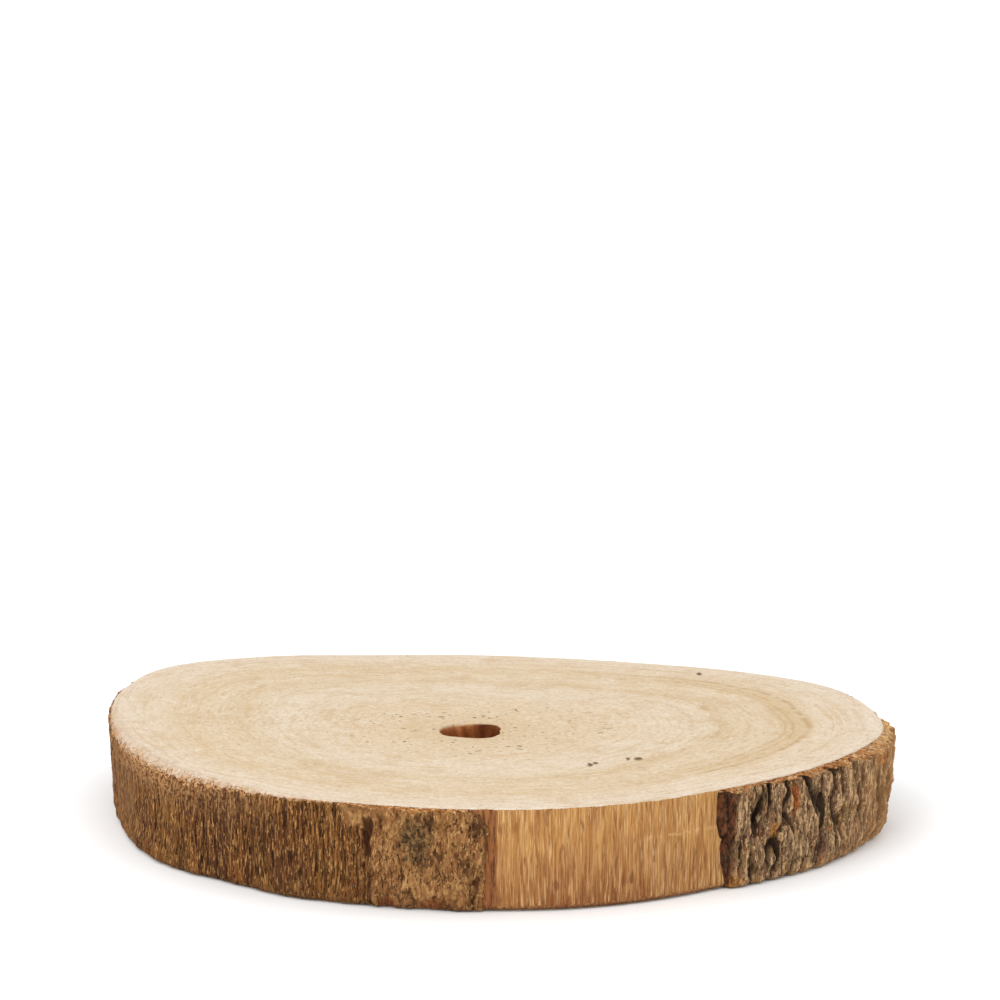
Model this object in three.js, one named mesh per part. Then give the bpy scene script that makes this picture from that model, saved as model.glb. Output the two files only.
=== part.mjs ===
// A round slice sawn across a tree trunk: a flat board of pale wood with an open pith,
// and with some of its bark still on. Wood and bark grew together, so the slice is one solid.
// Millimetres, +Z up. It lies on its sawn underside, with the middle of its outline at the origin.
import * as THREE from "three";
import { mergeVertices } from "three/addons/utils/BufferGeometryUtils.js";

// The slice.
const THICKNESS = 44;
// The wood's radius round the pith, every 15 degrees from +X towards +Y. The tree grew off its centre.
const WOOD_RADII = [
  184, 189, 192, 183, 172, 168, 170, 176, 193, 203, 187, 170,
  158, 151, 148, 144, 146, 144, 147, 151, 153, 155, 162, 172,
];
const MEAN_RADIUS = 167;
// The trunk flares upwards a little at its left and right.
const FLARE = 2.3;

// The pith has rotted out and left a hole right through.
const PITH_RADIUS = 14;
const PITH_TAPER = 1.2;
const PITH_LUMPS = [
  { turns: 2, size: 0.7, start: 1.2 },
  { turns: 3, size: 0.8, start: 0.3 },
  { turns: 5, size: 0.4, start: 2.0 },
];

// Stretches of the rim, by degrees round the pith. Each fades in and out over its soft length, and its ends
// are ragged. thick is the bark's thickness, swell what it gains by the stretch's middle, and drop how far
// its broken top lies below the sawn face. furrows, lumps and fibres are the depths of its relief.
const BARK = [
  { from: -47, to: 12, soft: 2.4, thick: 3.6, swell: 5.2, drop: 2.4, furrows: 3.4, lumps: 0.8, fibres: 0 },
  { from: 249, to: 273.5, soft: 2.2, thick: 3.4, swell: 0.4, drop: 1.4, furrows: 1.0, lumps: 1.7, fibres: 0.2 },
  { from: 58, to: 96, soft: 2.6, thick: 3.2, swell: 1.6, drop: 4.6, furrows: 2.0, lumps: 1.2, fibres: 0.2 },
  { from: 12, to: 249, soft: 3.0, thick: 0.9, swell: 0, drop: 1.0, furrows: 0, lumps: 0.2, fibres: 0.7 },
];
const RAGGED_ENDS = 1.1;
const THINNEST_BARK = 0.15;
const DROP_VARIES = 0.35;

// The relief's grids on the unrolled rim: how wide and tall a cell is.
const FURROW = { across: 8.4, tall: 36, seed: 1 };
const SWAY = { across: 18, tall: 19, seed: 5 };
const LUMP = { across: 11, tall: 13, seed: 2 };
const FIBRE = { across: 6.6, tall: 60, seed: 3 };
const END = { across: 11, tall: 13, seed: 11 };
// How sharply the bark falls into a furrow, and how far a furrow sways to the side, in millimetres.
const FURROW_SHARPNESS = 2.6;
const FURROW_SWAY = 4.2;

// The bark's broken top slopes down from the sawn edge in two steps, the first of them this far down and out.
// Even a bare edge is worn down a little.
const SHOULDER = { down: 0.45, out: 0.5 };
const EDGE_WEAR = 0.7;

// The saw left the lower edge a little rounded too.
const FOOT_HEIGHT = 1.4;
const FOOT_BEVEL = 0.8;

// The mesh: columns round the rim, and rows up its bark between the foot and the broken top.
const COLUMNS = 320;
const BARK_ROWS = 11;
const HOLE_ROWS = 2;

const WOOD_COLOUR = "#d6b98c";
const TURN = 2 * Math.PI;

const smooth = (t) => {
  const x = Math.min(1, Math.max(0, t));
  return x * x * (3 - 2 * x);
};

// A fixed number from 0 to 1 for each corner of the noise grid.
function corner(column, row, seed) {
  const value = Math.sin(column * 127.1 + row * 311.7 + seed * 74.7) * 43758.5453;
  return value - Math.floor(value);
}

// Smooth seeded noise from -1 to 1 on the unrolled rim, in cells of the given width and height.
// The grid closes on itself after one turn.
function noise(turn, height, { across, tall, seed }) {
  const cells = Math.round((TURN * MEAN_RADIUS) / across);
  const u = (turn - Math.floor(turn)) * cells;
  const v = height / tall;
  const [column, row] = [Math.floor(u), Math.floor(v)];
  const [s, t] = [smooth(u - column), smooth(v - row)];
  const next = (column + 1) % cells;
  const low = THREE.MathUtils.lerp(corner(column % cells, row, seed), corner(next, row, seed), s);
  const high = THREE.MathUtils.lerp(corner(column % cells, row + 1, seed), corner(next, row + 1, seed), s);
  return 2 * THREE.MathUtils.lerp(low, high, t) - 1;
}

// A closed smooth curve through the radii, as in a Catmull-Rom spline.
function woodRadius(turn) {
  const n = WOOD_RADII.length;
  const place = (turn - Math.floor(turn)) * n;
  const k = Math.floor(place);
  const t = place - k;
  const [a, b, c, d] = [-1, 0, 1, 2].map((step) => WOOD_RADII[(k + step + n) % n]);
  return b + 0.5 * t * (c - a + t * (2 * a - 5 * b + 4 * c - d + t * (3 * (b - c) + d - a)));
}

// How much of a stretch of bark there is at this place on the rim, from 0 to 1. Its ends are ragged.
function cover(stretch, turn, height) {
  const middle = (stretch.from + stretch.to) / 2;
  const half = (stretch.to - stretch.from) / 2;
  const ragged = RAGGED_ENDS * noise(turn, height, END);
  const off = Math.abs(THREE.MathUtils.euclideanModulo(turn * 360 - middle + 180, 360) - 180);
  return { share: smooth((half + ragged - off) / stretch.soft), inward: Math.max(0, 1 - off / half) };
}

// The bark over the wood at this place: its thickness with its relief, and how far its top is broken down.
function barkAt(turn, height) {
  const swayed = turn + (FURROW_SWAY * noise(turn, height, SWAY)) / (TURN * MEAN_RADIUS);
  const ridge = Math.min(1, FURROW_SHARPNESS * Math.abs(noise(swayed, height, FURROW)));
  const lump = noise(turn, height, LUMP);
  const fibre = noise(turn, height, FIBRE);
  let [thick, drop] = [0, EDGE_WEAR];
  for (const stretch of BARK) {
    const { share, inward } = cover(stretch, turn, height);
    const relief = stretch.furrows * (ridge - 1) + stretch.lumps * lump + stretch.fibres * fibre;
    const swell = stretch.swell * Math.sin((Math.PI / 2) * inward);
    thick += share * Math.max(THINNEST_BARK, stretch.thick + swell + relief);
    drop += share * stretch.drop * (1 + DROP_VARIES * lump);
  }
  return { thick, drop };
}

// Radius and height of one row of the rim. Row 0 is the lower edge and the last row the upper edge.
function rimPoint(turn, row) {
  const angle = turn * TURN;
  const lastRow = BARK_ROWS + 2;
  const wood = (z) => woodRadius(turn) - FLARE * Math.cos(angle) ** 2 * (1 - z / THICKNESS);
  if (row === lastRow) return [wood(THICKNESS), THICKNESS];
  if (row === 0) return [wood(0) + barkAt(turn, 0).thick - FOOT_BEVEL, 0];
  const { drop } = barkAt(turn, THICKNESS);
  if (row === lastRow - 1) {
    const z = THICKNESS - SHOULDER.down * drop;
    return [wood(z) + SHOULDER.out * barkAt(turn, z).thick, z];
  }
  const z = THREE.MathUtils.lerp(FOOT_HEIGHT, THICKNESS - drop, (row - 1) / (BARK_ROWS - 1));
  return [wood(z) + barkAt(turn, z).thick, z];
}

// Radius of the hole, which narrows a little downwards.
function holeRadius(turn, height) {
  const lumps = PITH_LUMPS.map(({ turns, size, start }) => size * Math.sin(turns * turn * TURN + start));
  return PITH_RADIUS + lumps.reduce((sum, lump) => sum + lump) - PITH_TAPER * (1 - height / THICKNESS);
}

// The whole slice as one closed lathe: up the rim, in over the top, down the hole and out underneath.
function makeSlice() {
  const rimRows = BARK_ROWS + 3;
  const rows = rimRows + HOLE_ROWS + 1;
  const profile = Array.from({ length: rows }, (_, row) => {
    const inHole = row >= rimRows;
    const height = inHole ? 1 - (row - rimRows) / HOLE_ROWS : row / (rimRows - 1);
    return new THREE.Vector2(inHole ? PITH_RADIUS : MEAN_RADIUS, THICKNESS * height);
  });
  profile.push(profile[0].clone());

  const slice = new THREE.LatheGeometry(profile, COLUMNS);
  slice.deleteAttribute("normal");
  slice.deleteAttribute("uv");
  const position = slice.getAttribute("position");
  for (let index = 0; index < position.count; index++) {
    const turn = Math.floor(index / profile.length) / COLUMNS;
    const row = (index % profile.length) % rows;
    const height = THICKNESS * (1 - (row - rimRows) / HOLE_ROWS);
    const [radius, z] = row < rimRows ? rimPoint(turn, row) : [holeRadius(turn, height), height];
    position.setXYZ(index, radius * Math.cos(turn * TURN), radius * Math.sin(turn * TURN), z);
  }
  const closed = mergeVertices(slice, 1e-3);
  closed.computeBoundingBox();
  const middle = closed.boundingBox.getCenter(new THREE.Vector3());
  closed.translate(-middle.x, -middle.y, 0);
  closed.computeVertexNormals();
  return closed;
}

const woodSlice = new THREE.Mesh(
  makeSlice(),
  new THREE.MeshStandardMaterial({ color: WOOD_COLOUR, roughness: 0.85, metalness: 0 }),
);
woodSlice.name = "wood_slice";

const part = new THREE.Group();
part.add(woodSlice);

export default part;
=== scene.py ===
import math

import bmesh
import bpy
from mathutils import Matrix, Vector
from mathutils import noise as perlin


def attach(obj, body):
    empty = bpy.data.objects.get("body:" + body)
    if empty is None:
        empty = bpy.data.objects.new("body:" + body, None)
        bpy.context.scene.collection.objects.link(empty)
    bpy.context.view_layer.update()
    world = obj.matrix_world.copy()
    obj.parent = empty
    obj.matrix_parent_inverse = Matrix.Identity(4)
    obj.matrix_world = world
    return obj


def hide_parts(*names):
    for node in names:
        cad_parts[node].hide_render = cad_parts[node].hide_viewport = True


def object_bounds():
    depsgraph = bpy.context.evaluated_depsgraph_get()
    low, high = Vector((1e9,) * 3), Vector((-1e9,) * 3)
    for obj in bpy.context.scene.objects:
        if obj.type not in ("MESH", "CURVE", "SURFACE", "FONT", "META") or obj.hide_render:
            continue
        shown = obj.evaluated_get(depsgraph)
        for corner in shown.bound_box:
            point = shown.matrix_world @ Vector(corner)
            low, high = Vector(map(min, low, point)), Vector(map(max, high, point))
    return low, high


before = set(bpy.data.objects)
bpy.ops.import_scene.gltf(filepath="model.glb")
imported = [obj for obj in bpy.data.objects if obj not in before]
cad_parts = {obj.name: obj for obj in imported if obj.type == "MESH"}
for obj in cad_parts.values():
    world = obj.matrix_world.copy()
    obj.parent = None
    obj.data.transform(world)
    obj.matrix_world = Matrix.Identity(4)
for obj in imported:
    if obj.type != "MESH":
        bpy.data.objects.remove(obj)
cad_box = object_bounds()

# The sawn wood
# A slice of pale, light trunk wood, sawn flat on both faces. The tree grew off its centre, and its pith has
# rotted out and left a ragged hole right through. All the bark sits on this body.
MM = 0.001
THICKNESS = 44.0
# The pith's place, and the wood's radius round it every 15 degrees, from +X towards +Y, in millimetres.
PITH = Vector((-12.43, -12.245, 0))
WOOD_RADII = (
    184, 189, 192, 183, 172, 168, 170, 176, 193, 203, 187, 170,
    158, 151, 148, 144, 146, 144, 147, 151, 153, 155, 162, 172,
)
MEAN_RADIUS = 167.0
# The trunk flares upwards a little at its left and right.
FLARE = 2.3
TURN = 2 * math.pi

PITH_RADIUS = 14.0
PITH_TAPER = 1.2
PITH_LUMPS = ((2, 0.7, 1.2), (3, 0.8, 0.3), (5, 0.4, 2.0))
# The hole is worn wider across the slice's depth, and frays narrow it towards its ends, most at the right.
HOLE_WORN = 0.8
HOLE_FRAYS = 2.2
# Places where the hole's wall has broken out or stands in, as (degrees, how far out).
HOLE_BREAKS = ((48, 2.6), (324, 3.0), (288, 2.0), (268, -2.2), (2, -0.5), (150, -1.4))
# Its upper edge is rounded most round this direction, by so much outwards and down.
HOLE_EDGE = {"at": 132, "out": 1.2, "down": 2.8}

# The sawn wood's own rim is hidden this far inside the strips on it, and its lower edge is rounded off.
UNDER_BARK = 0.4
LOWER_EDGE = 3.4
WOOD_COLUMNS = 900


def lerp(a, b, t):
    return a + (b - a) * t


def smooth(t):
    t = min(1.0, max(0.0, t))
    return t * t * (3 - 2 * t)


def wood_radius(turn, height):
    """The wood's radius round the pith: a closed smooth curve through the radii, flared upwards."""
    place = (turn % 1) * len(WOOD_RADII)
    k = int(place)
    t = place - k
    a, b, c, d = (WOOD_RADII[(k + step) % len(WOOD_RADII)] for step in (-1, 0, 1, 2))
    curve = b + 0.5 * t * (c - a + t * (2 * a - 5 * b + 4 * c - d + t * (3 * (b - c) + d - a)))
    return curve - FLARE * math.cos(turn * TURN) ** 2 * (1 - height / THICKNESS)


def grain(turn, radius, height, across, along, seed):
    """Smooth noise from about -1 to 1, whose cells are so wide round the trunk and so tall along it."""
    x, y = radius * math.cos(turn * TURN) / across, radius * math.sin(turn * TURN) / across
    return perlin.noise(Vector((x + 31.7 * seed, y, height / along + 9.1 * seed)))


def towards(turn, degrees):
    """From 1 in this direction from the pith to 0 at right angles to it and beyond."""
    return max(0.0, math.cos(turn * TURN - math.radians(degrees)))


def in_place(turn, radius, height):
    """A point of the slice in metres, from its place round the pith. None leaves the CAD's box."""
    x, y = radius * math.cos(turn * TURN), radius * math.sin(turn * TURN)
    point = (PITH + Vector((x, y, height))) * MM
    return [min(max(c, low), high) for c, low, high in zip(point, *cad_box)]


def worn(turn):
    """How far in and down the wood's upper edge is worn. It is most at the slice's left end."""
    left = smooth(1.3 - abs(turn * 360 - 198) / 36)
    ragged = grain(turn, 160, 0, 5.0, 1, 7) + 0.7 * grain(turn, 160, 0, 1.6, 1, 9)
    return max(0.12, 0.3 + 2.6 * left + (0.3 + 0.5 * left) * ragged)


def finished(name, bm):
    """Makes a piece of the mesh, smooth all over, which takes the CAD solid's place."""
    for face in bm.faces:
        face.smooth = True
    mesh = bpy.data.meshes.new(name)
    bm.to_mesh(mesh)
    bm.free()
    piece = bpy.data.objects.new(name, mesh)
    bpy.context.collection.objects.link(piece)
    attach(piece, "root")
    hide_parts("wood_slice")
    return piece


def wood_profile():
    """Rows of the wood's section as (share of the way from the hole to the rim, height), from below."""
    rows = [(t, 0.0) for t in (0.0, 0.2, 0.4, 0.6, 0.8, 0.93, 1.0)]
    rows += [(1.0, height) for height in (0.8, 1.8, 3, 10, 18, 26, 34, 39)]
    rows += [(1.0, height) for height in (41, 41.8, 42.4, 42.9, 43.3, 43.6, 43.8)]
    rows += [(t, THICKNESS) for t in (1.0, 0.998, 0.995, 0.991, 0.985, 0.978)]
    rows += [(0.965 - 0.024 * k, THICKNESS) for k in range(39)]
    rows += [(t, THICKNESS) for t in (0.03, 0.015, 0.006)]
    rows += [(0.0, THICKNESS - down) for down in (0, 0.5, 1.2, 2.4, 4, 8, 12, 17, 22, 27, 32, 36, 40)]
    return rows


def rolled_grid(columns, rows, marks):
    """A sheet of so many columns by so many rows whose vertices carry the named marks, and each vertex with
    its share of the columns and its row. Row 0 comes again last, where joined() closes the section."""
    bm = bmesh.new()
    layers = [bm.verts.layers.float.new(mark) for mark in marks]
    bmesh.ops.create_grid(bm, x_segments=columns, y_segments=rows, size=0.5)
    places = [
        (vert, round((vert.co.x + 0.5) * columns) / columns, round((vert.co.y + 0.5) * rows) % rows)
        for vert in bm.verts
    ]
    return bm, layers, places


def joined(bm):
    """Merges the sheet's edges where they meet, closes its open ends and turns its faces outwards."""
    bmesh.ops.remove_doubles(bm, verts=[vert for vert in bm.verts if vert.is_boundary], dist=1e-6)
    open_ends = [edge for edge in bm.edges if edge.is_boundary]
    if open_ends:
        bmesh.ops.holes_fill(bm, edges=open_ends, sides=0)
    bmesh.ops.recalc_face_normals(bm, faces=bm.faces)


section = wood_profile()
bm, marks, places = rolled_grid(WOOD_COLUMNS, len(section), ("ring", "hole", "edge"))
ring_mark, hole_mark, edge_mark = marks
for vert, turn, row in places:
    share, height = section[row]
    down = THICKNESS - height
    rim = wood_radius(turn, height) - UNDER_BARK - LOWER_EDGE * smooth(1 - height / LOWER_EDGE)
    rim += 0.15 * grain(turn, 160, height, 4, 30, 8)
    rim -= worn(turn) * (1 - smooth(down / worn(turn))) * smooth((share - 0.9) / 0.1)
    lumps = sum(size * math.sin(count * turn * TURN + start) for count, size, start in PITH_LUMPS)
    hole = PITH_RADIUS + lumps - 0.5 * PITH_TAPER * down / THICKNESS
    across = math.cos(turn * TURN)
    hole += HOLE_WORN * (1 - across ** 2) - HOLE_FRAYS * across ** 2 * (0.65 + 0.35 * across)
    hole += sum(far * towards(turn, at) ** 8 for at, far in HOLE_BREAKS)
    rubbed = towards(turn, HOLE_EDGE["at"]) ** 4
    hole += HOLE_EDGE["out"] * rubbed * smooth(1 - down / HOLE_EDGE["down"]) + 0.4 * smooth(1 - down / 1.2)
    hole += 0.6 * grain(turn, 12, height, 5, 30, 3) + 0.3 * grain(turn, 12, height, 1.8, 6, 4)
    if share < 0.001:
        vert[hole_mark] = smooth(down / (0.5 + 0.35 * HOLE_EDGE["down"] * rubbed))
    vert[ring_mark] = share
    bevel = 0.25 * smooth((share - 0.96) / 0.04) + 0.75 * smooth(down / worn(turn)) * (share > 0.99)
    vert[edge_mark] = bevel * smooth(1.4 - abs(turn * 360 - 200) / 40)
    vert.co = in_place(turn, lerp(hole, rim, share), height)
joined(bm)
sawn_wood = finished("sawn_wood", bm)


class Tone:
    """A value, colour or place within a finish. Sums on values are worked out there too, at every point."""

    def __init__(self, finish, socket):
        self.finish, self.socket = finish, socket

    def worked(self, operation, *terms):
        return self.finish.node("ShaderNodeMath", {"operation": operation}, dict(enumerate(terms)))

    def __add__(self, other):
        return self.worked("ADD", self, other)

    __radd__ = __add__

    def __sub__(self, other):
        return self.worked("SUBTRACT", self, other)

    def __rsub__(self, other):
        return self.worked("SUBTRACT", other, self)

    def __mul__(self, other):
        return self.worked("MULTIPLY", self, other)

    __rmul__ = __mul__

    def size(self):
        """How far it is from zero."""
        return self.worked("ABSOLUTE", self)

    def near(self, middle, reach):
        """From 1 at the middle to 0 as far off as that, with soft ends."""
        return 1 - (self - middle).size().between(0, reach)

    def between(self, low, high):
        """From 0 at low to 1 at high, with soft ends."""
        sockets = {"Value": self, "From Min": low, "From Max": high}
        return self.finish.node("ShaderNodeMapRange", {"interpolation_type": "SMOOTHSTEP"}, sockets)


# How much brighter than its own colour the sky and the lamp make a surface.
BRIGHTNESS = 1.38


def paint(red, green, blue):
    """The colour of a surface that shows as this red, green and blue in this light."""
    return (*(((c / 255 + 0.055) / 1.055) ** 2.4 / BRIGHTNESS for c in (red, green, blue)), 1)


class Finish:
    """A procedural material on the slice's own coordinates."""

    def __init__(self, name, specular):
        self.material = bpy.data.materials.new(name)
        self.material.use_nodes = True
        self.tree = self.material.node_tree
        self.surface = self.tree.nodes["Principled BSDF"]
        self.surface.inputs["Specular IOR Level"].default_value = specular
        self.place = self.node("ShaderNodeTexCoord", {}, {}, "Object")

    def node(self, kind, settings, sockets, output=0):
        """Adds one step to the finish: its settings first, then the values or steps that feed it."""
        made = self.tree.nodes.new(kind)
        for setting, value in settings.items():
            if setting == "stops":
                for at, colour in value[1:-1]:
                    made.color_ramp.elements.new(at)
                for element, (at, colour) in zip(made.color_ramp.elements, value):
                    element.position, element.color = at, colour
            else:
                setattr(made, setting, value)
        for socket, value in sockets.items():
            if isinstance(value, Tone):
                self.tree.links.new(value.socket, made.inputs[socket])
            else:
                made.inputs[socket].default_value = value
        return Tone(self, made.outputs[output])

    def mark(self, name):
        """A value that the piece's vertices carry."""
        return self.node("ShaderNodeAttribute", {"attribute_name": name}, {}, "Fac")

    def vectors(self, operation, *terms, output=0):
        """Sums on places and directions."""
        return self.node("ShaderNodeVectorMath", {"operation": operation}, dict(enumerate(terms)), output)

    def place_up(self):
        """The height of a place above the table, in millimetres."""
        return self.node("ShaderNodeSeparateXYZ", {}, {0: self.place}, "Z") * (1 / MM)

    def noise(self, place, detail, rough):
        """Noise from 0 to 1 in cells one unit wide."""
        sockets = {"Vector": place, "Scale": 1.0, "Detail": detail, "Roughness": rough}
        return self.node("ShaderNodeTexNoise", {}, sockets, "Fac")

    def speckle(self, across, along, detail=2.0, rough=0.5):
        """Noise in cells of so many millimetres across and along the trunk."""
        scale = (1 / across / MM, 1 / across / MM, 1 / along / MM)
        return self.noise(self.vectors("MULTIPLY", self.place, scale), detail, rough)

    def mix(self, share, first, second):
        """One colour going over into another."""
        return self.node("ShaderNodeMix", {"data_type": "RGBA"}, {0: share, 6: first, 7: second}, 2)

    def flecked(self, colour, share, cells, span, other):
        """The colour with flecks of another: cells is their speckle, and span where in it they come in."""
        return self.mix(share * self.speckle(*cells).between(*span), colour, other)

    def shades(self, value, *stops):
        """Colours along a value, as stops of (value, colour)."""
        return self.node("ShaderNodeValToRGB", {"stops": stops}, {"Fac": value})

    def finish(self, colour, height, piece, roughness, depth):
        """Joins the colour, the roughness and a relief so many millimetres deep, and dresses the piece."""
        relief = {"Height": height, "Strength": 1.0, "Distance": depth * MM}
        bump = self.node("ShaderNodeBump", {}, relief, "Normal")
        for socket, value in (("Base Color", colour), ("Roughness", roughness), ("Normal", bump)):
            if isinstance(value, Tone):
                self.tree.links.new(value.socket, self.surface.inputs[socket])
            else:
                self.surface.inputs[socket].default_value = value
        piece.data.materials.append(self.material)


def way_out(look):
    """The direction from the pith, one long."""
    out = look.vectors("SUBTRACT", look.place, tuple(PITH * MM))
    return look.vectors("NORMALIZE", look.vectors("MULTIPLY", out, (1, 1, 0)))


def ringed(look, slide, fine, detail):
    """Noise that follows the rings: slow round the trunk, and fast from ring to ring."""
    wide = look.vectors("MULTIPLY", way_out(look), (slide, slide, 0))
    rings = look.node("ShaderNodeCombineXYZ", {}, {"Z": look.mark("ring") * fine})
    return look.noise(look.vectors("ADD", wide, rings), detail, 0.6)


# Pits in the sawn face, as (x, y, half their width, half their length) in millimetres.
PITS = (
    (39.6, -79.5, 1.9, 3.8), (42.0, -76.0, 1.5, 3.0), (56.3, -68.5, 1.1, 3.4), (60.8, -68.0, 2.1, 3.8),
    (95.3, 112.0, 1.5, 4.6),
)


def dress_sawn_wood():
    look = Finish("sawn wood", specular=0.06)
    ring, edge, hole = look.mark("ring"), look.mark("edge"), look.mark("hole")
    # Broad rings, from the pith out.
    wavy = ring + 0.05 * (look.speckle(60, 60) - 0.5) + 0.012 * (look.speckle(14, 14) - 0.5)
    colour = look.shades(
        wavy,
        (0.0, paint(228, 203, 167)),
        (0.12, paint(235, 214, 182)),
        (0.3, paint(238, 218, 189)),
        (0.42, paint(242, 226, 202)),
        (0.53, paint(241, 225, 200)),
        (0.6, paint(231, 210, 177)),
        (0.68, paint(238, 219, 190)),
        (0.79, paint(233, 211, 177)),
        (0.84, paint(239, 220, 193)),
        (0.94, paint(242, 226, 203)),
        (1.0, paint(246, 231, 212)),
    )
    # Fine streaks along the rings, and cloudy patches.
    streaks = ringed(look, 15, 95, 3)
    colour = look.mix(0.34 * ringed(look, 2.2, 16, 3), colour, paint(208, 174, 130))
    colour = look.mix(0.45 * streaks.between(0.5, 0.72), colour, paint(198, 160, 114))
    colour = look.mix(0.45 * ringed(look, 18, 60, 3).between(0.52, 0.7), colour, paint(250, 237, 218))
    colour = look.flecked(colour, 0.42, (19, 19, 4, 0.6), (0.5, 0.74), paint(210, 176, 132))
    colour = look.flecked(colour, 0.40, (15, 15, 4, 0.6), (0.54, 0.74), paint(246, 232, 214))
    colour = look.flecked(colour, 0.40, (1.4, 1.4, 3, 0.6), (0.45, 0.72), paint(192, 156, 112))
    colour = look.flecked(colour, 0.40, (2.2, 2.2, 3, 0.6), (0.5, 0.76), paint(252, 241, 224))
    # Darker arcs of late wood, on the right half only, and broken up.
    right = look.vectors("DOT_PRODUCT", way_out(look), (1, 0.1, 0), output="Value")
    broken = look.speckle(8, 8, 4, 0.6)
    arcs = 0.6 * wavy.near(0.748, 0.009) + 0.7 * wavy.near(0.77, 0.008) + wavy.near(0.81, 0.014)
    outer_arcs = arcs * right.between(0.25, 0.9) * broken.between(0.34, 0.56)
    colour = look.mix(0.6 * outer_arcs, colour, paint(184, 144, 94))
    colour = look.mix(0.3 * wavy.near(0.78, 0.06) * right.between(0.5, 1.0), colour, paint(210, 176, 124))
    inner_arcs = (wavy.near(0.575, 0.03) + 0.7 * wavy.near(0.50, 0.016)) * right.between(0.5, 0.98)
    colour = look.mix(0.5 * inner_arcs * broken.between(0.4, 0.62), colour, paint(196, 156, 102))
    colour = look.mix(0.4 * ringed(look, 3, 44, 2).between(0.54, 0.66), colour, paint(216, 184, 138))
    # Pores, crowded round the pith, and the pits.
    crowd = (1 - ring.between(0.1, 0.45)) * look.speckle(14, 14, 2).between(0.4, 0.55)
    pores = look.speckle(3.0, 3.0, 1).between(0.67, 0.71) * (0.16 + 0.84 * crowd)
    colour = look.mix(0.8 * pores, colour, paint(116, 80, 48))
    colour = look.flecked(colour, 0.3, (1.0, 1.0, 1), (0.64, 0.72), paint(150, 112, 74))
    for x, y, wide, tall in PITS:
        off = look.vectors("SUBTRACT", look.place, (x * MM, y * MM, THICKNESS * MM))
        scaled = look.vectors("MULTIPLY", off, (1 / wide / MM, 1 / tall / MM, 1 / MM))
        away = look.vectors("LENGTH", scaled, output="Value")
        ragged = away + 2.2 * (look.speckle(2, 3, 4, 0.65) - 0.5)
        colour = look.mix(0.9 * (1 - ragged.between(0.35, 1.15)), colour, paint(108, 68, 36))
    # The worn left edge, tan with dark crumbs and pale splinters.
    tanned = edge * (0.4 + 0.9 * look.speckle(2.4, 2.4, 3, 0.65).between(0.36, 0.6))
    colour = look.mix(0.75 * tanned, colour, paint(190, 138, 88))
    dots = look.speckle(1.3, 1.3, 2, 0.6).between(0.55, 0.61)
    colour = look.mix(0.85 * dots * edge, colour, paint(100, 62, 32))
    sparks = look.speckle(1.5, 1.5, 2, 0.6).between(0.57, 0.65)
    colour = look.mix(0.5 * edge * sparks, colour, paint(246, 220, 184))
    # The hole's wall, darkest at its right from painted shade, and paler at its left from painted light.
    wall = look.shades(
        look.speckle(4, 9, 3),
        (0.3, paint(112, 56, 26)),
        (0.55, paint(160, 92, 50)),
        (0.75, paint(196, 128, 80)),
    )
    wall = look.mix(0.55 * right.between(-0.1, 0.7), wall, paint(84, 40, 18))
    wall = look.mix(0.4 * (0 - right).between(0.1, 0.8), wall, paint(184, 108, 58))
    colour = look.mix(hole, colour, wall)
    height = 0.5 * look.speckle(1.2, 1.2, 3) + 0.5 * streaks - pores - dots * edge
    look.finish(colour, height, sawn_wood, roughness=0.8, depth=0.2)


dress_sawn_wood()


# The bark's relief, shared by all its stretches
# Bark is built up in layers that tear as the trunk grows, so its furrows run up the trunk. These furrows,
# lumps and fibres lie where the CAD solid has them, on the same seeded grid.
FURROW = {"across": 8.4, "tall": 36.0, "seed": 1}
SWAY = {"across": 18.0, "tall": 19.0, "seed": 5}
LUMP = {"across": 11.0, "tall": 13.0, "seed": 2}
FIBRE = {"across": 6.6, "tall": 60.0, "seed": 3}
END = {"across": 11.0, "tall": 13.0, "seed": 11}
FURROW_SHARPNESS = 4.2
FURROW_SWAY = 4.2

# A strip of bark is sunk this far into the wood, and its back, which nobody sees, lies a little deeper.
SUNK = 1.2
BACK_DEPTH = 0.6
BACK_HEIGHTS = (THICKNESS - 2.4, 1.1)
# Its lower edge is rounded, and the last rows of its section are its broken top.
FOOT_HEIGHT = 0.9
FOOT_ROUND = {"in": 1.3, "up": 1.8}
FACE_SHARE = 0.84
STRIP_MARKS = ("hollow", "crumb", "lift", "along")


def corner(column, row, seed):
    """A fixed number from 0 to 1 for each corner of a grid."""
    value = math.sin(column * 127.1 + row * 311.7 + seed * 74.7) * 43758.5453
    return value - math.floor(value)


def gridded(turn, height, grid):
    """Smooth seeded noise from -1 to 1 on the unrolled rim, on a grid that closes on itself."""
    cells = round(TURN * MEAN_RADIUS / grid["across"])
    u, v = (turn % 1) * cells, height / grid["tall"]
    column, row = int(u), math.floor(v)
    s, t, seed = smooth(u - column), smooth(v - row), grid["seed"]
    column, beside = column % cells, (column + 1) % cells
    low = lerp(corner(column, row, seed), corner(beside, row, seed), s)
    high = lerp(corner(column, row + 1, seed), corner(beside, row + 1, seed), s)
    return 2 * lerp(low, high, t) - 1


def ridge_at(turn, height):
    """From 0 at the bottom of a furrow to 1 on the plate beside it."""
    swayed = turn + FURROW_SWAY * gridded(turn, height, SWAY) / (TURN * MEAN_RADIUS)
    return min(1.0, FURROW_SHARPNESS * abs(gridded(swayed, height, FURROW)))


def cover(first, last, soft, turn, height):
    """How much of a stretch of bark is left here, from 0 to 1, and how far in from its ends it is."""
    middle, half = (first + last) / 2, (last - first) / 2
    off = abs((turn * 360 - middle + 180) % 360 - 180)
    ragged = 1.1 * gridded(turn, height, END) + 0.5 * grain(turn, 165, height, 2.2, 4, 2)
    return smooth((half + ragged - off) / soft), max(0.0, 1 - off / half)


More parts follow.
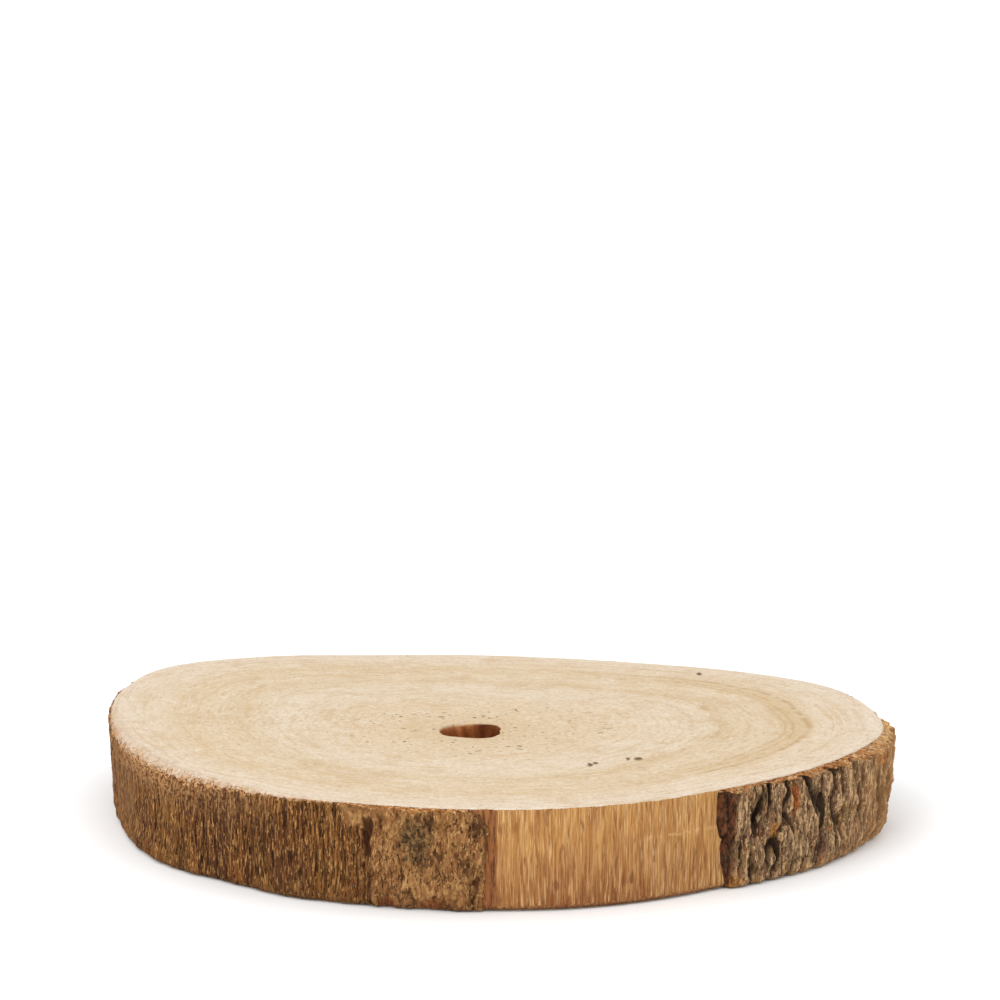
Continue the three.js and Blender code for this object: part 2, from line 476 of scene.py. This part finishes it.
def bark_strip(name, first, last, columns, rows, surface):
    """A stretch of bark as a closed strip from first to last degrees, sunk into the wood at its back.
    surface(turn, rise, crown) gives how far its top is broken down there, its thickness, its slip to the
    side, and how hollow, crumbled and raised it is. Crown goes from 0 on the bark's outside to 1 where its
    broken top meets the sawn edge."""
    bm, (hollow, crumb, lift, along), places = rolled_grid(columns, rows + 3, STRIP_MARKS)
    for vert, share, row in places:
        degrees = lerp(first, last, share)
        turn, rise = degrees / 360, row / rows
        if row > rows:
            height = BACK_HEIGHTS[row - rows - 1]
            vert.co = in_place(turn, wood_radius(turn, height) - SUNK - BACK_DEPTH, height)
            continue
        crown = max(0.0, (rise - FACE_SHARE) / (1 - FACE_SHARE))
        drop, out, slip, marks = surface(turn, rise, crown)
        foot = FOOT_ROUND["in"] * smooth(1 - rise * THICKNESS / FOOT_ROUND["up"])
        end = worn(turn) + 0.2
        height = lerp(FOOT_HEIGHT, THICKNESS - max(drop, end + 0.2), min(1.0, rise / FACE_SHARE))
        height = lerp(height, THICKNESS - end, crown ** 0.8)
        radius = wood_radius(turn, height) + out - foot
        vert[hollow], vert[crumb], vert[lift] = marks
        vert[along] = degrees
        vert.co = in_place(turn + slip / (TURN * MEAN_RADIUS), radius, height)
    joined(bm)
    return finished(name, bm)


# The rough outer bark
# On the slice's right end the trunk's full bark is still on. It is dry and brittle, grey-brown, cracked into
# upright plates, and its top has crumbled away under the saw to an orange-brown slope.
# It runs from the first of these degrees round the pith to the last and fades over its soft length. The rest
# is its thickness, what it gains by its middle, and the depth of its relief, in millimetres.
OUTER = {"first": -48, "last": 12, "soft": 1.0, "thick": 2.8, "swell": 5.2, "furrows": 2.6, "lumps": 0.9}
OUTER_RADIUS = 185
# Narrow upright cracks between the furrows, as (degrees, height, how wide, how tall).
CRACKS = (
    (-38.2, 34, 0.9, 9), (-34.8, 31, 0.8, 12), (-36.6, 11, 1.1, 11), (-27.2, 24, 0.8, 18),
    (-24.2, 36, 0.8, 9), (-17.5, 22, 0.8, 16), (-10.5, 26, 0.9, 14), (-4.0, 20, 0.9, 16),
)


def within(spot, degrees, height):
    """From 1 in the middle of a spot to 0 outside it."""
    at, level, wide, tall = spot
    return smooth(1.6 - 1.6 * math.hypot((degrees - at) / wide, (height - level) / tall))


def crests(turn, radius, height, across, along, seed):
    """Torn upright flakes with sharp crests, from about -1 in the hollows to 1 on a crest."""
    return 1 - 4 * abs(grain(turn, radius, height, across, along, seed))


def fallen(out, crown, bluntness, share):
    """The bark's thickness where its broken top falls back to the wood, and where its stretch runs out."""
    out *= 1 - crown ** bluntness
    return lerp(-SUNK * 0.8, max(0.2 - crown * 1.4, out - crown), share)


def outer_surface(turn, rise, crown):
    height = THICKNESS * rise
    first = OUTER["first"] + 1.3 * smooth(1 - height / 20)
    share, inward = cover(first, OUTER["last"], OUTER["soft"], turn, height)
    ridge = ridge_at(turn, height)
    lump = gridded(turn, height, LUMP)
    drop = 1.0 + 3.0 * smooth((turn * 360 + 38) / 44) + 0.6 * lump
    drop += 2.4 * grain(turn, OUTER_RADIUS, 0, 4, 1, 6) + 1.6 * grain(turn, OUTER_RADIUS, 0, 1.7, 1, 7)
    # Plates, strands, scales and grit: the bark's relief from coarse to fine.
    plates = crests(turn, OUTER_RADIUS, height, 5.2, 26, 12)
    strands = crests(turn, OUTER_RADIUS, height, 2.6, 12, 13)
    scales = crests(turn, OUTER_RADIUS, height, 1.8, 4.4, 14)
    grit = grain(turn, OUTER_RADIUS, height, 1.0, 1.6, 15)
    out = OUTER["thick"] + OUTER["swell"] * math.sin(math.pi / 2 * inward)
    out += OUTER["furrows"] * (ridge - 1) + OUTER["lumps"] * lump
    out += 0.8 * plates + 0.55 * strands + 0.26 * scales + 0.45 * grit
    bent = turn * 360 + 1.4 * grain(turn, OUTER_RADIUS, height, 6, 9, 22)
    crack = max(within(spot, bent, height) for spot in CRACKS)
    out -= 1.8 * crack * (1 - crown)
    # The slice's right end is drawn in towards its foot.
    out -= smooth((turn * 360 + 42) / 30) * (1.0 * (1 - rise) + 2.6 * smooth(1 - height / 9))
    crumbs = 2.6 * grain(turn, OUTER_RADIUS, height, 2.6, 2.6, 17)
    crumbs += 1.6 * grain(turn, OUTER_RADIUS, height, 1.2, 1.2, 18)
    bluntness = 1.5 + 1.2 * grain(turn, OUTER_RADIUS, 0, 5, 1, 21)
    out = fallen(out + crumbs * 4 * crown * (1 - crown), crown, bluntness, share)
    slip = 1.3 * grain(turn, OUTER_RADIUS, height, 4, 9, 19)
    slip += 0.5 * grain(turn, OUTER_RADIUS, height, 1.7, 4, 20)
    lift = 0.5 * plates + 0.45 * strands + 0.2 * scales + 0.4 * grit
    hollow = max(0.0, 0.8 * (1 - ridge), 0.9 * crack)
    return drop, out, slip * share, (hollow, crown + 0.5 * crumbs * crown, lift)


outer_bark = bark_strip("outer_bark", first=-49.5, last=14.5, columns=430, rows=100, surface=outer_surface)


def broken_top(look):
    """The orange-brown inside of the bark, where its top has crumbled."""
    colour = look.shades(
        look.speckle(2.0, 2.0, 4, 0.7),
        (0.3, paint(60, 32, 14)),
        (0.42, paint(132, 78, 38)),
        (0.5, paint(186, 124, 68)),
        (0.6, paint(222, 172, 112)),
        (0.75, paint(244, 206, 150)),
    )
    colour = look.flecked(colour, 0.5, (7, 7, 3), (0.45, 0.6), paint(176, 102, 48))
    colour = look.mix(0.5 * look.mark("along").near(6, 26), colour, paint(255, 212, 150))
    colour = look.flecked(colour, 0.7, (2.6, 2.6, 3, 0.65), (0.56, 0.64), paint(255, 222, 176))
    return look.flecked(colour, 0.8, (3.0, 3.0, 3, 0.65), (0.58, 0.65), paint(70, 36, 16))


# Where a chip has come off the bark's face, as (degrees, height, how wide, how tall), and the chip's colour.
CHIPS = (
    ((-44.6, 3, 1.5, 4.5), paint(226, 160, 84)),
    ((-37.2, 23, 1.2, 5.0), paint(220, 152, 72)),
    ((-33.2, 35, 0.8, 9.0), paint(196, 112, 62)),
    ((-9.0, 38, 3.0, 4.0), paint(214, 142, 78)),
)


def spot_on(look, spot, ragged):
    """From 1 in the middle of a spot on the bark to 0 outside it, with ragged ends."""
    at, level, wide, tall = spot
    across = (look.mark("along") - at) * (1 / wide)
    upright = (look.place_up() - level) * (1 / tall)
    squares = across * across + upright * upright
    off = squares.worked("SQRT", squares)
    return 1 - (off + ragged * (look.speckle(3.2, 4, 4, 0.7) - 0.5)).between(0.4, 1.1)


def dress_outer_bark():
    look = Finish("outer bark", specular=0.1)
    hollow, crumb, lift, along = (look.mark(name) for name in STRIP_MARKS)
    colour = look.shades(
        look.speckle(6, 16, 4, 0.6),
        (0.3, paint(118, 88, 70)),
        (0.42, paint(148, 114, 84)),
        (0.5, paint(166, 128, 96)),
        (0.58, paint(142, 116, 72)),
        (0.68, paint(138, 104, 84)),
    )
    # Dark hollows and pale crests, painted as shade and highlight, and dark and pale dashes on both.
    colour = look.flecked(colour, 0.6, (3.0, 9, 3), (0.55, 0.66), paint(186, 116, 62))
    colour = look.mix(0.8 * (0 - lift).between(0.0, 0.7), colour, paint(58, 36, 24))
    colour = look.mix(0.8 * lift.between(0.25, 0.85), colour, paint(232, 190, 140))
    colour = look.flecked(colour, 0.8, (1.1, 5.0, 4, 0.75), (0.51, 0.6), paint(46, 29, 18))
    colour = look.flecked(colour, 0.75, (1.3, 5.0, 4, 0.7), (0.54, 0.63), paint(246, 206, 152))
    colour = look.flecked(colour, 0.6, (1.1, 1.6, 3, 0.7), (0.53, 0.62), paint(54, 34, 22))
    # Sandy crumbs along the foot, painted shade that turns the furrows and cracks black, and the chips.
    foot = 1 - (look.place_up() + 6 * (look.speckle(4, 4, 3) - 0.5)).between(1.0, 6.0)
    colour = look.mix(0.5 * foot * look.speckle(3, 4, 3).between(0.4, 0.6), colour, paint(206, 150, 88))
    colour = look.mix(0.92 * hollow.between(0.16, 0.7), colour, paint(28, 16, 10))
    for spot, chip in CHIPS:
        flecked = look.mix(look.speckle(1.2, 3, 3, 0.7).between(0.42, 0.58), chip, paint(112, 68, 34))
        colour = look.mix(0.8 * spot_on(look, spot, 1.6), colour, flecked)
    # The torn left edge shows the dark bast, and painted light makes the right end paler.
    bast = look.mix(look.speckle(2.0, 5, 4, 0.7).between(0.42, 0.6), paint(34, 18, 10), paint(106, 58, 34))
    left_edge = 1 - (along + 3.4 * (look.speckle(3, 8, 4, 0.6) - 0.5)).between(-45.8, -44.0)
    colour = look.mix(0.92 * left_edge, colour, bast)
    colour = look.mix(0.42 * along.near(0, 28), colour, paint(214, 156, 100))
    crumbled = (crumb + 0.5 * (look.speckle(2, 2, 3) - 0.5)).between(0.05, 0.4)
    colour = look.mix(crumbled, colour, broken_top(look))
    height = look.speckle(0.9, 1.4, 4, 0.65) + 0.8 * look.speckle(2.2, 5, 3)
    look.finish(colour, height, outer_bark, roughness=0.88, depth=0.8)


dress_outer_bark()


# The bark left at the front
# Between the fibres and the bare wood a thin remnant of the bark still clings to the trunk. It is lumpy and
# torn, with a dark damp patch and a scalloped right edge.
FRONT = {"first": 248.6, "last": 271.2, "soft": 0.9, "thick": 2.7, "swell": 0.4, "lumps": 0.9}
FRONT_RADIUS = 148
# What the remnant shows besides its flakes, as (degrees, height, how wide, how tall): a dark damp patch, a
# deep hollow by its left edge, and two places low down where a flake has left the red bast bare.
DAMP = (261.3, 30, 3.0, 14)
HOLLOW = (253.3, 26, 1.2, 12)
BARED = ((257.0, 1, 2.2, 6), (264.6, 0, 3.4, 7))
# Left of so many degrees and below this height only its fibres are left.
TORN_OFF = (254.4, 37)


def front_surface(turn, rise, crown):
    height, degrees = THICKNESS * rise, turn * 360
    scallop = 2.0 * smooth(1.3 - abs(height - 27) / 10) + 1.9 * smooth(1 - height / 26)
    scallop -= 1.0 * smooth((height - 33) / 8)
    share, inward = cover(FRONT["first"], FRONT["last"] + scallop, FRONT["soft"], turn, height)
    torn_off = smooth((TORN_OFF[0] - degrees) / 0.8) * smooth((TORN_OFF[1] - height) / 2)
    lump = gridded(turn, height, LUMP)
    drop = 1.1 + 1.1 * smooth(1.6 - abs(degrees - 265) / 8) + 0.4 * lump
    drop += 1.5 * grain(turn, FRONT_RADIUS, 0, 2.6, 1, 6)
    warp = turn + 0.006 * grain(turn, FRONT_RADIUS, height, 9, 9, 28)
    plates = crests(warp, FRONT_RADIUS, height, 8.0, 17, 22)
    flakes = crests(warp, FRONT_RADIUS, height, 3.4, 8.0, 23)
    scales = grain(turn, FRONT_RADIUS, height, 1.4, 3.0, 24)
    grit = grain(turn, FRONT_RADIUS, height, 0.9, 1.4, 25)
    sunk = within(HOLLOW, degrees + 0.8 * grain(turn, FRONT_RADIUS, height, 3, 4, 29), height)
    strayed = degrees + 1.5 * grain(turn, FRONT_RADIUS, height, 4, 4, 30)
    bared = max(within(spot, strayed, height) for spot in BARED)
    out = FRONT["thick"] + FRONT["swell"] * math.sin(math.pi / 2 * inward) + FRONT["lumps"] * lump
    # The remnant is split into layers, with a rift along each layer's edge.
    layer = smooth(7 * grain(warp, FRONT_RADIUS, height, 9, 15, 35) + 0.5)
    torn = smooth(9 * grain(warp, FRONT_RADIUS, height, 3.6, 6, 36) + 0.2)
    rift = 1 - abs(2 * layer - 1) + 0.5 * (1 - abs(2 * torn - 1))
    out += 0.9 * (layer - 0.5) + 0.5 * (torn - 0.5) - 0.4 * rift
    out += 0.5 * plates + 0.35 * flakes + 0.7 * scales + 0.5 * grit
    out = fallen(lerp(out, 0.2, max(sunk, 0.7 * bared, 0.6 * torn_off)), crown, 1.6, share)
    slip = 1.0 * grain(turn, FRONT_RADIUS, height, 5, 6, 26)
    slip += 0.4 * grain(turn, FRONT_RADIUS, height, 1.7, 3, 27)
    lift = 0.35 * plates + 0.35 * flakes + 0.45 * scales + 0.45 * grit
    hollow = max(sunk, 0.8 * rift, 0.6 * smooth(-1.4 * plates - 0.6))
    return drop, out, slip * share, (hollow, crown, lift)


front_bark = bark_strip("front_bark", first=246.0, last=276.0, columns=200, rows=96, surface=front_surface)


def dress_front_bark():
    look = Finish("front bark", specular=0.1)
    hollow, crumb, lift, along = (look.mark(name) for name in STRIP_MARKS)
    colour = look.shades(
        look.speckle(4.5, 8, 4, 0.6),
        (0.3, paint(122, 76, 42)),
        (0.42, paint(150, 102, 60)),
        (0.52, paint(170, 120, 74)),
        (0.62, paint(156, 112, 64)),
        (0.72, paint(134, 86, 50)),
    )
    # Dark hollows and pale crests, painted as shade and highlight, and dashes of both, calmer in some places
    # than in others.
    colour = look.mix(0.7 * (0 - lift).between(0.0, 0.7), colour, paint(70, 40, 22))
    colour = look.mix(0.6 * lift.between(0.25, 0.8), colour, paint(206, 158, 100))
    calm = 0.35 + 0.65 * look.speckle(9, 12, 2).between(0.4, 0.58)
    dashes = look.speckle(1.0, 3.4, 4, 0.75).between(0.51, 0.59)
    colour = look.mix(0.95 * calm * dashes, colour, paint(58, 32, 16))
    colour = look.flecked(colour, 0.75, (1.1, 3.2, 4, 0.7), (0.55, 0.63), paint(222, 174, 112))
    # The damp patch, and the red bast where a flake has come off.
    dry = look.speckle(1.4, 2.4, 4, 0.7).between(0.46, 0.6)
    damp = look.mix(dry, paint(50, 38, 27), paint(150, 116, 74))
    colour = look.mix(0.85 * spot_on(look, DAMP, 2.6), colour, damp)
    red = look.mix(look.speckle(1.2, 5, 4, 0.7).between(0.38, 0.62), paint(66, 32, 16), paint(150, 84, 46))
    for spot in BARED:
        colour = look.mix(0.85 * spot_on(look, spot, 1.6), colour, red)
    # The fibres left of the torn edge, and the shade low down beside it.
    ragged = look.speckle(4, 7, 4, 0.6) - 0.5
    torn_at, torn_below = TORN_OFF
    left_over = 1 - (along + 1.6 * ragged).between(torn_at - 0.8, torn_at)
    left_over = left_over * (1 - (look.place_up() + 6 * ragged).between(torn_below - 3, torn_below))
    gaps = look.speckle(0.75, 7, 4, 0.75).between(0.44, 0.56)
    fibres = look.mix(gaps, paint(136, 86, 44), paint(52, 28, 14))
    fibres = look.flecked(fibres, 0.7, (0.8, 3.2, 4, 0.7), (0.55, 0.62), paint(206, 154, 94))
    colour = look.mix(0.9 * left_over, colour, fibres)
    # Painted shade in the deep hollow, along the rifts between the layers and low between the plates.
    colour = look.mix(0.8 * hollow.between(0.3, 0.9), colour, paint(58, 31, 18))
    shade = along.near(torn_at - 0.7, 1.0) * (1 - look.place_up().between(12, 22))
    colour = look.mix(0.6 * shade * look.speckle(3, 9, 3).between(0.35, 0.5), colour, paint(52, 28, 15))
    colour = look.mix(crumb.between(0.05, 0.4), colour, broken_top(look))
    height = look.speckle(0.9, 1.2, 4, 0.65) + 0.8 * look.speckle(2.2, 3.2, 3)
    look.finish(colour, height, front_bark, roughness=0.88, depth=0.7)


dress_front_bark()


# The fibrous inner bark
# Round the left end and the back the outer bark has come away and left its inner layer: coarse fibres that
# run up the trunk, dark between and tan where they have rubbed, with painted shade in the gaps and
# painted highlight on the crests as well.
FIBROUS = {"first": 10, "last": 252.0, "soft": 1.4, "thick": 0.9, "lumps": 0.2, "fibres": 0.6}
FIBROUS_RADIUS = 165


def inner_surface(turn, rise, crown):
    height = THICKNESS * rise
    share, _ = cover(FIBROUS["first"], FIBROUS["last"], FIBROUS["soft"], turn, height)
    drop = 1.1 + 1.5 * worn(turn) + 2.0 * grain(turn, FIBROUS_RADIUS, 0, 2.2, 1, 6)
    strands = crests(turn, FIBROUS_RADIUS, height, 2.6, 22, 31)
    threads = crests(turn, FIBROUS_RADIUS, height, 1.5, 8, 32)
    flakes = grain(turn, FIBROUS_RADIUS, height, 2.6, 4.6, 33)
    grit = grain(turn, FIBROUS_RADIUS, height, 1.0, 1.8, 34)
    out = FIBROUS["thick"] + FIBROUS["fibres"] * gridded(turn, height, FIBRE)
    out += FIBROUS["lumps"] * gridded(turn, height, LUMP)
    out += 0.26 * strands + 0.2 * threads + 0.16 * flakes + 0.26 * grit
    # Its foot spreads at the front left, and it is thinnest at the left end.
    out += 2.4 * smooth(1 - height / 14) * smooth(1.3 - abs(turn * 360 - 200) / 20)
    out -= 0.9 * smooth(1.4 - abs(turn * 360 - 180) / 16)
    out = fallen(out, crown, 1.6, share)
    lift = 0.4 * strands + 0.45 * threads + 0.2 * flakes + 0.5 * grit
    return drop, out, 0.5 * flakes, (max(0.0, -strands), crown, lift)


inner_bark = bark_strip("inner_bark", first=8.5, last=254.5, columns=1580, rows=56, surface=inner_surface)


def dress_inner_bark():
    look = Finish("inner bark", specular=0.1)
    hollow, crumb, lift, along = (look.mark(name) for name in STRIP_MARKS)
    colour = look.shades(
        look.speckle(1.3, 18, 4, 0.65),
        (0.32, paint(66, 35, 16)),
        (0.44, paint(98, 57, 26)),
        (0.54, paint(128, 79, 38)),
        (0.66, paint(166, 110, 56)),
    )
    # Broad dark and pale stretches, painted shade low in the relief and painted highlight on its crests,
    # then the single fibres and the gaps between them.
    colour = look.flecked(colour, 0.65, (22, 60, 3), (0.44, 0.6), paint(82, 48, 32))
    colour = look.flecked(colour, 0.3, (34, 90, 3), (0.48, 0.62), paint(162, 116, 62))
    colour = look.mix(0.4 * along.near(178, 28), colour, paint(176, 122, 74))
    colour = look.mix(0.55 * (0 - lift).between(0.05, 0.85), colour, paint(54, 30, 14))
    colour = look.mix(0.45 * lift.between(0.3, 0.9), colour, paint(192, 140, 82))
    colour = look.flecked(colour, 0.92, (0.75, 7, 4, 0.75), (0.49, 0.57), paint(44, 23, 11))
    colour = look.flecked(colour, 0.85, (0.75, 4.6, 4, 0.7), (0.54, 0.62), paint(206, 154, 96))
    # Painted shade between the strands.
    colour = look.mix(0.4 * hollow.between(0.3, 0.9), colour, paint(46, 24, 12))
    # The crumbly top edge, deepest at the left end.
    dots = look.speckle(1.1, 1.6, 3, 0.7).between(0.46, 0.54)
    crumbly = look.mix(dots, paint(112, 68, 38), paint(222, 170, 116))
    left_top = along.near(200, 46) * look.place_up().between(25, 40)
    worn_top = crumb.between(0.05, 0.5) + 0.8 * left_top
    colour = look.mix(0.85 * worn_top * look.speckle(3, 3, 3).between(0.25, 0.45), colour, crumbly)
    height = look.speckle(0.8, 6, 4, 0.65) + 0.8 * look.speckle(0.9, 1.8, 3)
    look.finish(colour, height, inner_bark, roughness=0.88, depth=0.7)


dress_inner_bark()


# The bark left at the back
# Another remnant of the full bark has stayed on at the back, cracked like the bark on the right. Its top
# has broken off lower down, so only its rough edge shows past the sawn face from the front.
BACK = {"first": 58, "last": 96, "soft": 1.2, "thick": 3.0, "swell": 1.6, "furrows": 2.0, "lumps": 1.2}
BACK_RADIUS = 170


def back_surface(turn, rise, crown):
    height = THICKNESS * rise
    share, inward = cover(BACK["first"], BACK["last"], BACK["soft"], turn, height)
    ridge = ridge_at(turn, height)
    lump = gridded(turn, height, LUMP)
    drop = 4.8 + 1.7 * lump + 1.6 * grain(turn, BACK_RADIUS, 0, 2.4, 1, 6)
    strands = crests(turn, BACK_RADIUS, height, 4.2, 16, 42)
    flakes = crests(turn, BACK_RADIUS, height, 2.4, 5.5, 43)
    scales = grain(turn, BACK_RADIUS, height, 1.6, 2.7, 44)
    out = BACK["thick"] + BACK["swell"] * math.sin(math.pi / 2 * inward)
    out += BACK["furrows"] * (ridge - 1) + BACK["lumps"] * lump
    out += 0.6 * strands + 0.4 * flakes + 0.6 * scales
    crumbs = 2.0 * grain(turn, BACK_RADIUS, height, 2.6, 2.6, 46)
    out = fallen(out + crumbs * 4 * crown * (1 - crown), crown, 1.4, share)
    slip = 1.0 * grain(turn, BACK_RADIUS, height, 4, 8, 45)
    hollow = max(0.0, 1 - ridge * 1.3)
    return drop, out, slip * share, (hollow, crown, 0.4 * strands + 0.35 * flakes + 0.6 * scales)


back_bark = bark_strip("back_bark", first=55.5, last=98.5, columns=230, rows=84, surface=back_surface)
back_bark.data.materials.append(outer_bark.data.materials[0])


# The bare wood
# At the front right the bark has come clean off the trunk and shows the smooth outer wood, golden tan, with
# its fine upright grain and a reddish strip of bast along the remnant's edge.
BARE_RADIUS = 152


def bare_surface(turn, rise, crown):
    height = THICKNESS * rise
    threads = grain(turn, BARE_RADIUS, height, 1.3, 14, 51)
    waves = grain(turn, BARE_RADIUS, height, 8, 50, 52)
    nicks = smooth(grain(turn, BARE_RADIUS, height, 1.8, 7, 53) * 4 - 1.6)
    out = 0.12 + 0.14 * threads + 0.2 * waves - 0.25 * nicks
    drop = 0.35 + 0.5 * max(0.0, grain(turn, BARE_RADIUS, 0, 2.0, 1, 54))
    return drop, lerp(out, -0.6, crown), 0.0, (nicks, crown, threads)


bare_wood = bark_strip("bare_wood", first=268.5, last=316.5, columns=355, rows=48, surface=bare_surface)


def dress_bare_wood():
    look = Finish("bare wood", specular=0.15)
    along, nicks, level = look.mark("along"), look.mark("hollow"), look.place_up()
    colour = look.shades(
        look.speckle(0.9, 15, 4, 0.65),
        (0.3, paint(144, 92, 44)),
        (0.44, paint(184, 130, 72)),
        (0.56, paint(206, 152, 88)),
        (0.7, paint(232, 184, 122)),
    )
    # Streaks of the grain, broad ones first.
    colour = look.flecked(colour, 0.5, (6, 34, 3), (0.45, 0.64), paint(166, 107, 54))
    colour = look.flecked(colour, 0.3, (4, 30, 3), (0.5, 0.66), paint(232, 186, 122))
    colour = look.flecked(colour, 0.6, (0.7, 19, 4, 0.7), (0.5, 0.6), paint(136, 82, 40))
    colour = look.flecked(colour, 0.55, (0.7, 16, 4, 0.65), (0.54, 0.64), paint(250, 210, 152))
    # Its lower half is darker and redder, with pale and dark flecks.
    low = 1 - (level + 22 * (look.speckle(9, 22, 3) - 0.5)).between(2, 32)
    colour = look.mix(0.7 * low * along.near(290, 26), colour, paint(142, 82, 44))
    flecks = look.speckle(0.9, 13, 4, 0.65).between(0.5, 0.61)
    colour = look.mix(0.75 * low * flecks, colour, paint(226, 178, 118))
    dark = look.speckle(0.8, 14, 4, 0.7).between(0.5, 0.6)
    colour = look.mix(0.6 * low * dark, colour, paint(108, 58, 29))
    # A pale scar across the grain, nicks, and painted shade darkening the foot where it meets the table.
    scar = (level + 5 * (look.speckle(9, 9, 3) - 0.5)).near(28.2, 1.3) * along.between(297, 301)
    colour = look.mix(0.4 * scar * look.speckle(3, 3, 3).between(0.4, 0.55), colour, paint(236, 188, 130))
    colour = look.mix(0.6 * nicks, colour, paint(128, 74, 34))
    colour = look.mix(0.7 * (1 - level.between(0.6, 3.0)), colour, paint(104, 56, 28))
    # The strip of bast along the remnant.
    red = look.mix(look.speckle(1.2, 9, 4, 0.7).between(0.36, 0.6), paint(78, 38, 18), paint(164, 102, 56))
    bast = 1 - (along + 0.5 * (look.speckle(3, 9, 2) - 0.5)).between(274.5, 274.9)
    colour = look.mix(0.9 * bast, colour, red)
    height = look.speckle(0.8, 12, 3) + 0.6 * look.speckle(0.6, 5, 3)
    look.finish(colour, height, bare_wood, roughness=0.65, depth=0.35)


dress_bare_wood()


# The table and the light
# A plain white table under an even white sky, with one large soft lamp in front, at the upper left. They
# give the photograph's even studio light.
FLOOR_SIZE = 40.0
FLOOR_WHITE = 0.93
SKY_STRENGTH = 1.24
LAMP = {"place": (-0.9, -1.7, 1.3), "size": 1.4, "power": 16}

bm = bmesh.new()
bmesh.ops.create_grid(bm, x_segments=1, y_segments=1, size=FLOOR_SIZE / 2)
mesh = bpy.data.meshes.new("table")
bm.to_mesh(mesh)
bm.free()
table = bpy.data.objects.new("table", mesh)
bpy.context.collection.objects.link(table)
table_paint = bpy.data.materials.new("table paint")
table_paint.use_nodes = True
surface = table_paint.node_tree.nodes["Principled BSDF"]
surface.inputs["Base Color"].default_value = (FLOOR_WHITE, FLOOR_WHITE, FLOOR_WHITE, 1)
surface.inputs["Roughness"].default_value = 0.8
table.data.materials.append(table_paint)

world = bpy.data.worlds.new("white sky")
bpy.context.scene.world = world
world.use_nodes = True
sky = world.node_tree.nodes["Background"]
sky.inputs["Color"].default_value = (1, 1, 1, 1)
sky.inputs["Strength"].default_value = SKY_STRENGTH

lamp_data = bpy.data.lights.new("soft lamp", "AREA")
lamp_data.shape = "DISK"
lamp_data.size = LAMP["size"]
lamp_data.energy = LAMP["power"]
lamp = bpy.data.objects.new("soft lamp", lamp_data)
lamp.location = LAMP["place"]
lamp.rotation_euler = (Vector((0, 0, 0)) - lamp.location).to_track_quat("-Z", "Y").to_euler()
bpy.context.collection.objects.link(lamp)

# The camera
# It stands 1.9 m from the slice and a little above it, and looks down so that the slice lies low in its
# frame. Its lens is a long one, given with its sensor's width in millimetres.
CAMERA_PLACE = (0.00095, -1.8677, 0.45524)
CAMERA_DOWN = 9.397
CAMERA_LENS = 153.41
CAMERA_SENSOR = 36
camera_data = bpy.data.cameras.new("camera")
camera_data.lens = CAMERA_LENS
camera_data.sensor_width = CAMERA_SENSOR
camera_data.clip_end = 100
camera = bpy.data.objects.new("camera", camera_data)
camera.location = CAMERA_PLACE
camera.rotation_euler = (math.radians(90 - CAMERA_DOWN), 0, 0)
bpy.context.collection.objects.link(camera)
bpy.context.scene.camera = camera
bpy.context.scene.view_settings.view_transform = "Standard"
